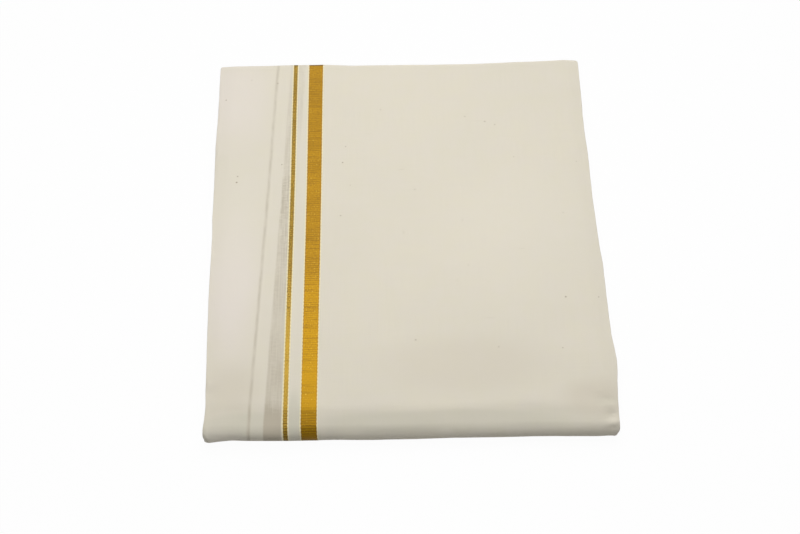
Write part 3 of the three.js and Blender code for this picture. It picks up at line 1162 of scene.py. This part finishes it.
class Tone(Enum):
    """The colour that a mark draws the cotton towards."""

    LILAC = (0.825, 0.757, 0.700)
    ROSE = (0.690, 0.632, 0.520)
    # Painted shade: the green-grey of the shaded shoulder by the near roll and of a crease's
    # dent.
    GREEN_GREY = (0.610, 0.585, 0.475)
    PALE = (0.800, 0.750, 0.640)
    SEED = (0.300, 0.225, 0.140)
    SLUB = (0.660, 0.610, 0.490)


@dataclass(frozen=True)
class Mark:
    """A soft tint, a thick place in a thread or a seed fleck.

    x is across the packet and along is the distance down the path from the far end of the top.
    Both are in millimetres, as the reaches are. The mark is even over its core, a share of its
    reach.
    """

    x: float
    along: float
    reach_x: float
    reach_along: float
    strength: float
    tone: Tone
    core: float = 0.0

    def centre(self, packet: Packet) -> Triple:
        """Returns the mark's centre in the cloth's own measures."""
        meeting = meeting_x(packet, self.along * MM / packet.top_length)
        return (abs(self.x * MM - meeting), self.along * MM, 0.0)

    def reach(self) -> Triple:
        """Returns the mark's reach along each axis."""
        return (self.reach_x * MM, self.reach_along * MM, 1.0)


def seed(
    x: float, along: float, size: float, strength: float, flat: float = 0.8, core: float = 0.35
) -> Mark:
    """Returns a small brown seed fleck, a little flatter than it is wide."""
    return Mark(x, along, size, size * flat, strength, Tone.SEED, core)


# x, along, size and strength of each seed fleck.
PLAIN_SEEDS = (
    (-52.8, 100.3, 0.88, 0.77), (-54.8, 151.1, 0.77, 0.7), (123.7, 227.7, 1, 0.77),
    (3, 262.3, 0.88, 0.64), (91.6, 96.7, 0.66, 0.58), (69.2, 61.1, 1.1, 0.51),
    (77.6, 64.3, 0.83, 0.58), (52.3, 55.8, 0.83, 0.58), (-19.8, 47.5, 0.77, 0.58),
    (-50.2, 84.5, 0.77, 0.58), (6.8, 127.5, 0.77, 0.58), (-3.6, 167.8, 0.77, 0.58),
    (151.6, 228.2, 0.83, 0.58), (117.3, 271.3, 0.77, 0.58), (67.4, 269.5, 0.77, 0.58),
    (146.7, 102.3, 0.7, 0.45), (-46.6, 122.4, 0.7, 0.4), (45, 157.1, 0.7, 0.55),
    (129.1, 151.4, 0.8, 0.5), (47.6, 198.4, 0.8, 0.35), (37.9, 211.9, 0.7, 0.4),
    (64, 441, 0.7, 0.5), (-18, 502, 0.9, 0.55), (112, 566, 0.7, 0.45), (20, 618, 0.6, 0.45),
    (132, 497, 0.75, 0.5),
)
BORDER_SEEDS = (
    (-140.9, 118.3, 1.1, 0.77), (-140.3, 112.5, 0.88, 0.7), (-153.2, 35.2, 0.88, 0.7),
    (-103.9, 101.4, 0.83, 0.64), (-108.8, 18.1, 0.94, 0.77), (-131.5, 14, 0.66, 0.45),
    (-118, 470, 0.8, 0.5), (-140, 590, 0.65, 0.45),
)

PLAIN_MARKS = (
    Mark(40, 283, 92, 34, 0.5, Tone.ROSE, 0.3),
    # Painted shade: green-grey darkening along the shoulder by the near roll.
    Mark(23, 327.5, 118, 10, 0.34, Tone.GREEN_GREY, 0.6),
    Mark(-30, 328, 62, 12, 0.22, Tone.GREEN_GREY, 0.5),
    Mark(110, 325, 60, 9, 0.2, Tone.GREEN_GREY, 0.4),
    Mark(142, 311, 40, 20, 0.75, Tone.ROSE, 0.3),
    Mark(95, 170, 90, 80, 0.3, Tone.PALE, 0.2),
    # Painted shade in the dent of the pinched fold by the near right corner.
    Mark(150, 314.5, 15, 6, 0.34, Tone.GREEN_GREY, 0.3),
    # Painted light: a lighter patch on the near roll.
    Mark(23, 336, 9, 5, 0.5, Tone.PALE, 0.2),
    Mark(-3.5, 107.9, 4.5, 0.6, 0.55, Tone.SLUB, 0.4),
    Mark(62, 60.5, 9, 0.55, 0.3, Tone.SLUB, 0.4),
    Mark(91.8, 184.1, 4, 0.6, 0.36, Tone.SLUB, 0.4),
    Mark(61.9, 244.7, 6, 0.7, 0.34, Tone.SLUB, 0.4),
    Mark(-30.5, 71.8, 5, 0.6, 0.28, Tone.SLUB, 0.4),
    Mark(122.1, 116.8, 5, 0.5, 0.24, Tone.SLUB, 0.4),
    *(seed(*row) for row in PLAIN_SEEDS),
)
BORDER_MARKS = (
    Mark(-141, 214, 30, 92, 0.6, Tone.LILAC, 0.2),
    Mark(-146, 36, 44, 66, 0.5, Tone.LILAC, 0.2),
    Mark(-141, 150, 38, 90, 0.45, Tone.PALE, 0.1),
    Mark(-138, 300, 34, 30, 0.6, Tone.ROSE, 0.2),
    # Painted light: the left end of the near roll made lighter.
    Mark(-150, 338.5, 34, 9, 0.8, Tone.PALE, 0.4),
    # Painted shade along the shoulder by the near roll, and between the gold stripes there.
    Mark(-120, 328, 52, 11, 0.42, Tone.GREEN_GREY, 0.5),
    Mark(-122, 330, 24, 13, 0.32, Tone.GREEN_GREY, 0.4),
    Mark(-91.4, 323, 9, 28, 0.62, Tone.GREEN_GREY, 0.4),
    *(seed(*row) for row in BORDER_SEEDS),
)


@dataclass(frozen=True)
class ClothPlace:
    """A place on the cloth, with its distances from the selvedge and down the cloth."""

    both: Socket
    across: Socket
    along: Socket


@dataclass(frozen=True)
class Look:
    """What varies over a finish."""

    colour: Socket
    height: Socket
    roughness: Feed
    metallic: Feed = 0.0


@dataclass(frozen=True)
class Cotton:
    """Unbleached plain-woven cotton."""

    packet: Packet
    groups: EffectGroups
    marks: tuple[Mark, ...] = PLAIN_MARKS
    colour: Colour = (0.763, 0.711, 0.585)
    grey: Colour = (0.700, 0.665, 0.560)
    grey_share: float = 0.27
    pink: Colour = (0.755, 0.700, 0.620)
    pink_share: float = 0.36
    thread_pitch: float = 0.42 * MM
    thread_shade: float = 0.16
    slub: float = 0.3
    roughness: float = 0.9
    specular: float = 0.16
    sheen: float = 0.18
    sheen_roughness: float = 0.45
    weave_bump: float = 0.6
    weave_height: float = 0.05 * MM

    def ground(self, graph: Graph, cloth: Socket) -> tuple[Socket, Socket]:
        """Adds the cotton ground.

        Args:
            graph: the material's graph.
            cloth: the place on the cloth.

        Returns:
            Its colour and its height.
        """
        weave = graph.group(
            self.groups.weave, Place=cloth, Thread_Pitch=self.thread_pitch, Slub=self.slub
        )
        mottle = graph.group(self.groups.mottle, Place=cloth)
        broad = graph.times(mottle.outputs["Broad"], self.grey_share)
        toned = graph.blend(broad, opaque(self.colour), opaque(self.grey))
        patchy = graph.times(mottle.outputs["Patchy"], self.pink_share)
        toned = graph.blend(patchy, toned, opaque(self.pink))
        shaded = graph.plus(graph.times(weave.outputs["Shade"], self.thread_shade), 1.0)
        whole = graph.node("ShaderNodeCombineXYZ", {"X": shaded, "Y": shaded, "Z": shaded})
        colour = graph.blend(1.0, toned, whole.outputs[0], how="MULTIPLY")
        for mark in self.marks:
            spot = graph.group(
                self.groups.spot,
                Place=cloth,
                Centre=mark.centre(self.packet),
                Reach=mark.reach(),
                Core=mark.core,
            )
            share = graph.times(spot.outputs["Mask"], mark.strength)
            colour = graph.blend(share, colour, opaque(mark.tone.value))
        return colour, weave.outputs["Height"]

    def look(self, graph: Graph, cloth: Socket) -> Look:
        """Adds what varies over the plain cotton."""
        colour, height = self.ground(graph, cloth)
        return Look(colour, height, self.roughness)

    def build(self, slot: str) -> bpy.types.Material:
        """Builds the material, named for its slot."""
        material = bpy.data.materials.new(slot)
        graph = cleared(material)
        cloth = graph.node("ShaderNodeUVMap", uv_map=CLOTH_MAP)
        look = self.look(graph, cloth.outputs[0])
        shader = graph.node("ShaderNodeBsdfPrincipled")
        graph.node("ShaderNodeOutputMaterial", {"Surface": shader.outputs[0]})
        threads = {
            "Strength": self.weave_bump,
            "Distance": self.weave_height,
            "Height": look.height,
        }
        values = {
            "Specular IOR Level": self.specular,
            "Sheen Weight": self.sheen,
            "Sheen Roughness": self.sheen_roughness,
            "Base Color": look.colour,
            "Roughness": look.roughness,
            "Metallic": look.metallic,
            "Normal": graph.node("ShaderNodeBump", threads).outputs[0],
        }
        for name, value in values.items():
            graph.feed(shader.inputs[name], value)
        return material


@dataclass(frozen=True)
class GoldStripe:
    """A stripe of gold thread, edged with pale yellow on both sides.

    outline is how far its margins are dulled, speckle how far its specks are, and calm_from the
    distance down the cloth from which both its ribs and its specks are weaker.
    """

    from_selvedge: float
    width: float
    colour: Colour
    dark: Colour
    metallic: float
    outline: float
    speckle: float
    calm_from: float


@dataclass(frozen=True)
class GoldWeave:
    """How the gold thread varies: its ribs, dark picks, specks and glints, and its painted
    reflection and shade.
    """

    roughness: float = 0.42
    glint: Colour = (0.72, 0.50, 0.10)
    glints: Ramp = Ramp(0.34, 0.26, 0.0, 0.35)
    rib_pitch: float = 1.9 * MM
    rib_distortion: float = 1.3
    rib_detail: float = 2.0
    rib_detail_scale: float = 0.8
    bands: Grain = Grain(14.0, 46.0)
    band_strength: Ramp = Ramp(0.36, 0.62, 0.14, 0.48)
    picks: Grain = Grain(36.0, 560.0)
    pick_strength: Ramp = Ramp(0.54, 0.70, 0.0, 0.36)
    specks: Grain = Grain(900.0, 700.0, 1.0)
    speck_low: float = 0.5
    speck_high: float = 0.72
    calm_length: float = 30 * MM
    calm_share: float = 0.35
    # Painted shade: stronger ribs, and so darker gold, from the shoulder by the near roll on.
    shoulder_length: float = 14 * MM
    shoulder_start: float = 6 * MM
    painted_shoulder_shade: float = 0.42
    margin: float = 0.55 * MM
    margin_softness: float = 0.45 * MM
    # Painted reflection: the gold is darkened throughout, lighter in two steps down the cloth and
    # darker again from about 300 mm on, standing in for how brightly it reflects.
    far_painted_dimming: float = 0.51
    painted_reflection_steps: tuple[Ramp, ...] = (
        Ramp(192 * MM, 214 * MM, 0.0, -0.27),
        Ramp(246 * MM, 268 * MM, 0.0, -0.14),
        Ramp(284 * MM, 300 * MM, 0.0, 0.14),
    )


@dataclass(frozen=True)
class ShadowBorder:
    """The next ply's border: a grey band and a fine line, which drift away down the cloth.

    Ramps run on the share of the way down the top, on a noise or, for the last two, on the
    distance from the selvedge and down the cloth: the band isn't seen right of the narrow stripe.
    """

    colour: Colour = (0.532, 0.477, 0.377)
    from_selvedge: float = 22.3 * MM
    drift: float = 12.0 * MM
    width: float = 13.0 * MM
    softness: float = 1.0 * MM
    line_offset: float = 17.7 * MM
    line_width: float = 2.2 * MM
    line_softness: float = 1.1 * MM
    weft: Grain = Grain(160.0, 700.0, 3.0)
    weft_weight: float = 0.6
    warp: Grain = Grain(900.0, 40.0)
    slow: Grain = Grain(10.0, 22.0, 1.0)
    line_grain: Grain = Grain(300.0, 75.0)
    rough_strength: Ramp = Ramp(0.60, 0.98, 0.30, 0.98)
    even_strength: Ramp = Ramp(0.55, 1.05, 0.48, 0.80)
    evenness: Ramp = Ramp(0.4, 0.75, 0.0, 1.0)
    slow_strength: Ramp = Ramp(0.3, 0.7, 0.72, 1.2)
    far_strength: Ramp = Ramp(0.04, 0.5, 0.42, 1.0)
    # Painted shade: the band is made up to twice as dark over the shoulder by the near roll.
    shoulder_shade_strength: Ramp = Ramp(0.935, 1.0, 0.92, 2.0)
    line_strength: Ramp = Ramp(0.32, 0.68, 0.32, 0.62)
    # Painted shade: the line is made darker over the shoulder by the near roll.
    line_shoulder_shade_strength: Ramp = Ramp(0.94, 0.98, 1.0, 1.5)
    right_of_stripe: Ramp = Ramp(22.6 * MM, 23.6 * MM, 1.0, 0.0)
    bare: Ramp = Ramp(30 * MM, 85 * MM, 0.0, 0.85)


@dataclass(frozen=True)
class BorderedCotton(Cotton):
    """Cotton with the gold border, and the shadow of the next ply's border under it."""

    marks: tuple[Mark, ...] = BORDER_MARKS
    wide: GoldStripe = GoldStripe(
        from_selvedge=6.9 * MM,
        width=12.0 * MM,
        colour=(0.40, 0.214, 0.001),
        dark=(0.198, 0.098, 0.001),
        metallic=0.45,
        outline=0.2,
        speckle=0.4,
        calm_from=270 * MM,
    )
    narrow: GoldStripe = GoldStripe(
        from_selvedge=24.6 * MM,
        width=3.4 * MM,
        colour=(0.405, 0.255, 0.032),
        dark=(0.150, 0.088, 0.008),
        metallic=0.38,
        outline=0.0,
        speckle=0.9,
        calm_from=222 * MM,
    )
    gold: GoldWeave = GoldWeave()
    shadow: ShadowBorder = ShadowBorder()
    pale: Colour = (0.86, 0.78, 0.52)
    edge_width: float = 0.9 * MM
    edge_softness: float = 0.14 * MM
    gold_softness: float = 0.12 * MM
    bead_pitch: float = 3.1 * MM
    bead_width: float = 0.19 * MM

    def gold_look(
        self, graph: Graph, place: ClothPlace, stripe: GoldStripe
    ) -> tuple[Socket, Socket]:
        """Adds a stripe's gold.

        Args:
            graph: the material's graph.
            place: the place on the cloth.
            stripe: the stripe.

        Returns:
            Its colour and the height of its ribs.
        """
        gold = self.gold
        waves = {
            "Scale": WAVE_SPACING / gold.rib_pitch,
            "Distortion": gold.rib_distortion,
            "Detail": gold.rib_detail,
            "Detail Scale": gold.rib_detail_scale,
            "Vector": place.both,
        }
        ribs = graph.node("ShaderNodeTexWave", waves, bands_direction="Y").outputs["Fac"]
        strength = graph.ramp(graph.grain(place.both, gold.bands), gold.band_strength)
        calm_to = stripe.calm_from + gold.calm_length
        calm = graph.remap(place.along, stripe.calm_from, calm_to, 1.0, gold.calm_share)
        strength = graph.times(strength, calm)
        # Painted shade: stronger ribs, and so darker gold, from the shoulder by the near roll on.
        shoulder = self.packet.top_length - gold.shoulder_length
        shoulder_shade = graph.remap(
            place.along, shoulder, shoulder + gold.shoulder_start, 0.0, gold.painted_shoulder_shade
        )
        strength = graph.plus(strength, shoulder_shade)
        share = graph.times(ribs, strength)
        picks = graph.grain(place.both, gold.picks)
        share = graph.plus(share, graph.ramp(picks, gold.pick_strength))
        speckle = graph.grain(place.both, gold.specks)
        specks = graph.remap(speckle, gold.speck_low, gold.speck_high, 0.0, stripe.speckle)
        share = graph.plus(share, graph.times(specks, calm))
        inner_width = stripe.width - 2 * gold.margin
        inner = self.groups.mask(
            graph, place.across, stripe.from_selvedge, inner_width, gold.margin_softness
        )
        margin = graph.less(1.0, inner)
        share = graph.plus(share, graph.times(margin, stripe.outline))
        # Painted reflection: darker gold at the far end of the top, changing in steps down the
        # cloth.
        share = graph.plus(share, gold.far_painted_dimming)
        for change in gold.painted_reflection_steps:
            share = graph.plus(share, graph.ramp(place.along, change))
        share = graph.math("MINIMUM", share, 1.0)
        colour = graph.blend(share, opaque(stripe.colour), opaque(stripe.dark))
        glint = graph.ramp(speckle, gold.glints)
        colour = graph.blend(glint, colour, opaque(gold.glint))
        return colour, graph.less(1.0, ribs)

    def look(self, graph: Graph, cloth: Socket) -> Look:
        """Adds what varies over the bordered cotton."""
        split = graph.node("ShaderNodeSeparateXYZ", {0: cloth})
        place = ClothPlace(cloth, split.outputs["X"], split.outputs["Y"])
        colour, height = self.ground(graph, cloth)
        colour = self.with_shadow(graph, colour, place)
        turns = graph.times(place.along, 2 * math.pi / self.bead_pitch)
        bead = graph.times(graph.math("SINE", turns), self.bead_width)
        roughness: Feed = self.roughness
        metallic: Feed = 0.0
        for stripe in (self.wide, self.narrow):
            centre = stripe.from_selvedge
            edged_width = graph.plus(bead, stripe.width + 2 * self.edge_width)
            edged = self.groups.mask(
                graph, place.across, centre, edged_width, self.edge_softness
            )
            gilt_width = graph.less(stripe.width, bead)
            gilt = self.groups.mask(
                graph, place.across, centre, gilt_width, self.gold_softness
            )
            gold_colour, gold_height = self.gold_look(graph, place, stripe)
            colour = graph.blend(edged, colour, opaque(self.pale))
            colour = graph.blend(gilt, colour, gold_colour)
            roughness = graph.blend_value(gilt, roughness, self.gold.roughness)
            metallic = graph.blend_value(gilt, metallic, stripe.metallic)
            height = graph.blend_value(gilt, height, gold_height)
        return Look(colour, height, roughness, metallic)

    def with_shadow(self, graph: Graph, colour: Socket, place: ClothPlace) -> Socket:
        """Lays the next ply's border over the ground as the grey that shows through."""
        shadow = self.shadow
        down = graph.math("DIVIDE", place.along, self.packet.top_length)
        centre = graph.plus(graph.times(down, shadow.drift), shadow.from_selvedge)
        line_centre = graph.plus(centre, shadow.line_offset)
        band = self.groups.mask(graph, place.across, centre, shadow.width, shadow.softness)
        line = self.groups.mask(
            graph, place.across, line_centre, shadow.line_width, shadow.line_softness
        )
        weft = graph.grain(place.both, shadow.weft)
        warp = graph.grain(place.both, shadow.warp)
        slow = graph.grain(place.both, shadow.slow)
        mottled = graph.plus(graph.times(weft, shadow.weft_weight), warp)
        rough = graph.ramp(mottled, shadow.rough_strength)
        even = graph.ramp(mottled, shadow.even_strength)
        strength = graph.blend_value(graph.ramp(down, shadow.evenness), rough, even)
        strength = graph.times(strength, graph.ramp(slow, shadow.slow_strength))
        strength = graph.times(strength, graph.ramp(down, shadow.far_strength))
        # Painted shade: the band darkens over the shoulder by the near roll.
        strength = graph.times(strength, graph.ramp(down, shadow.shoulder_shade_strength))
        right = graph.ramp(place.across, shadow.right_of_stripe)
        bare = graph.times(right, graph.ramp(place.along, shadow.bare))
        band = graph.times(band, graph.times(strength, graph.less(1.0, bare)))
        spotty = graph.grain(place.both, shadow.line_grain)
        line = graph.times(line, graph.ramp(spotty, shadow.line_strength))
        # Painted shade: the line darkens over the shoulder by the near roll.
        line = graph.times(line, graph.ramp(down, shadow.line_shoulder_shade_strength))
        return graph.blend(graph.math("MAXIMUM", band, line), colour, opaque(shadow.colour))


# ---- Studio ----


@dataclass(frozen=True)
class Studio:
    """A pale floor, soft light from above and behind, and the camera."""

    camera_place: Triple = (-0.03565, -0.44035, 0.8463)
    yaw_degrees: float = 4.02
    pitch_degrees: float = 63.64
    roll_degrees: float = 2.66
    focal_px: float = 1150.0
    image_width_px: float = 800.0
    sensor_width_mm: float = 36.0
    nearest: float = 10 * MM
    floor_size: float = 8.0
    floor_below: float = 0.3 * MM
    floor_grey: float = 0.86
    floor_glow: float = 0.965
    fill: float = 0.13
    mirrored: float = 0.5
    key_strength: float = 1.15
    key_spread_degrees: float = 34.0
    key_from: Triple = (0.0, 1.0, 1.0)
    top_power: float = 4.2
    top_size: float = 0.8
    top_place: Triple = (0.0, 0.12, 0.75)

    def camera(self) -> None:
        """Adds the camera and makes it the scene's."""
        yaw = math.radians(self.yaw_degrees)
        pitch = math.radians(self.pitch_degrees)
        roll = math.radians(self.roll_degrees)
        level = Vector((math.cos(yaw), -math.sin(yaw), 0.0))
        ahead = Vector((math.sin(yaw), math.cos(yaw), 0.0))
        forward = ahead * math.cos(pitch) - Vector((0.0, 0.0, math.sin(pitch)))
        upright = level.cross(forward)
        right = level * math.cos(roll) + upright * math.sin(roll)
        up = upright * math.cos(roll) - level * math.sin(roll)
        turn = Matrix((right, up, -forward)).transposed()
        data = bpy.data.cameras.new("camera")
        data.sensor_fit = "HORIZONTAL"
        data.sensor_width = self.sensor_width_mm
        data.lens = self.focal_px / self.image_width_px * self.sensor_width_mm
        data.clip_start = self.nearest
        camera = add_object("camera", data)
        camera.matrix_world = Matrix.Translation(self.camera_place) @ turn.to_4x4()
        bpy.context.scene.camera = camera

    def light(self) -> None:
        """Adds the key light from behind, the lamp overhead and the even surroundings."""
        key = bpy.data.lights.new("key", "SUN")
        key.angle = math.radians(self.key_spread_degrees)
        key.energy = self.key_strength
        self.aim(add_object("key", key), self.key_from)
        top = bpy.data.lights.new("top", "AREA")
        top.shape = "DISK"
        top.size = self.top_size
        top.energy = self.top_power
        lamp = add_object("top", top)
        lamp.location = self.top_place
        self.aim(lamp, self.top_place)
        world = bpy.data.worlds.new("surroundings")
        graph = cleared(world)
        path = graph.node("ShaderNodeLightPath")
        around = graph.blend_value(path.outputs["Is Glossy Ray"], self.fill, self.mirrored)
        strength = graph.blend_value(path.outputs["Is Camera Ray"], around, 1.0)
        white = {"Strength": strength, "Color": opaque((1.0, 1.0, 1.0))}
        backdrop = graph.node("ShaderNodeBackground", white)
        graph.node("ShaderNodeOutputWorld", {"Surface": backdrop.outputs[0]})
        bpy.context.scene.world = world

    @staticmethod
    def aim(light: bpy.types.Object, place: Triple) -> None:
        """Turns a light so that it shines from a place towards the origin."""
        light.rotation_euler = Vector(place).to_track_quat("Z", "Y").to_euler()

    def floor(self) -> None:
        """Adds the pale floor, which takes only a faint shadow."""
        work = bmesh.new()
        bmesh.ops.create_grid(work, x_segments=1, y_segments=1, size=self.floor_size / 2)
        bmesh.ops.translate(work, verts=work.verts, vec=(0.0, 0.0, -self.floor_below))
        floor = add_object("floor", mesh_from("floor", work))
        material = bpy.data.materials.new("pale_floor")
        graph = cleared(material)
        seen = graph.node("ShaderNodeLightPath").outputs["Is Camera Ray"]
        matt = graph.node("ShaderNodeBsdfDiffuse", {"Color": opaque((self.floor_grey,) * 3)})
        glow = graph.node("ShaderNodeEmission")
        share = graph.times(seen, self.floor_glow)
        both = {0: share, 1: matt.outputs[0], 2: glow.outputs[0]}
        blend = graph.node("ShaderNodeMixShader", both)
        graph.node("ShaderNodeOutputMaterial", {"Surface": blend.outputs[0]})
        floor.data.materials.append(material)

    def build(self) -> None:
        """Builds the whole studio."""
        bpy.context.scene.view_settings.view_transform = "Standard"
        self.camera()
        self.light()
        self.floor()


# ---- The lungi ----


@dataclass(frozen=True)
class Piece:
    """A dressed piece: what it stands for, its finish's slot and its flat cut."""

    sheet: bpy.types.Object
    node: str
    slot: str
    material: bpy.types.Material
    flat: tuple[float, float]
    rests_on: tuple[str, ...]

    def declare(self) -> None:
        """Gives the piece its finish, attaches it to the body, hides the part it stands for and
        logs which part that is.
        """
        self.sheet.data.materials.append(self.material)
        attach(self.sheet, BODY)
        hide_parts(self.node)
        LOG.info("%s stands for %s", self.sheet.name, self.node)


@dataclass(frozen=True)
class Lungi:
    """The folded lungi, as its stretches of cloth."""

    packet: Packet
    groups: EffectGroups

    def path_length(self) -> float:
        """Length of cloth from one end of the outer ribbon's path to the other."""
        steps = FoldSteps(top=5 * MM, hidden=5 * MM, turn=2 * MM)
        path = FoldedPath(self.packet, steps)
        stations = path.stations(with_wrap=True, with_inner_turn=True)
        return stations[-1].along - stations[0].along

    def build(self) -> list[Piece]:
        """Builds each stretch of cloth."""
        outer = OuterRibbon(self.packet)
        cotton = Cotton(self.packet, self.groups).build("cotton")
        bordered = BorderedCotton(self.packet, self.groups).build("bordered_cotton")
        length = self.path_length()
        border_width = 2 * flap_width()
        plain_width = 2 * self.packet.width - border_width
        pieces = [
            Piece(
                sheet=outer.sheet("border_cloth", outer.border_columns()),
                node="border_flap",
                slot="bordered_cotton",
                material=bordered,
                flat=(border_width, length),
                rests_on=("second_ribbon",),
            ),
            Piece(
                sheet=outer.sheet("plain_cloth", outer.plain_columns()),
                node="plain_flap",
                slot="cotton",
                material=cotton,
                flat=(plain_width, length),
                rests_on=("second_ribbon",),
            ),
        ]
        under = {"second_ribbon": "third_ribbon", "third_ribbon": "fourth_ribbon"}
        for ribbon in HiddenRibbons(self.packet).build():
            piece = Piece(
                sheet=ribbon,
                node="folded_layers",
                slot="folded_cotton",
                material=cotton,
                flat=(2 * self.packet.width, length),
                rests_on=(under.get(ribbon.name, "plain_cloth"),),
            )
            pieces.append(piece)
        return pieces


def main() -> None:
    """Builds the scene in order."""
    logging.basicConfig(level=logging.INFO)
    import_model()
    Studio().build()
    packet = Packet()
    for piece in Lungi(packet, EffectGroups.build()).build():
        piece.declare()


if __name__ == "__main__":
    main()
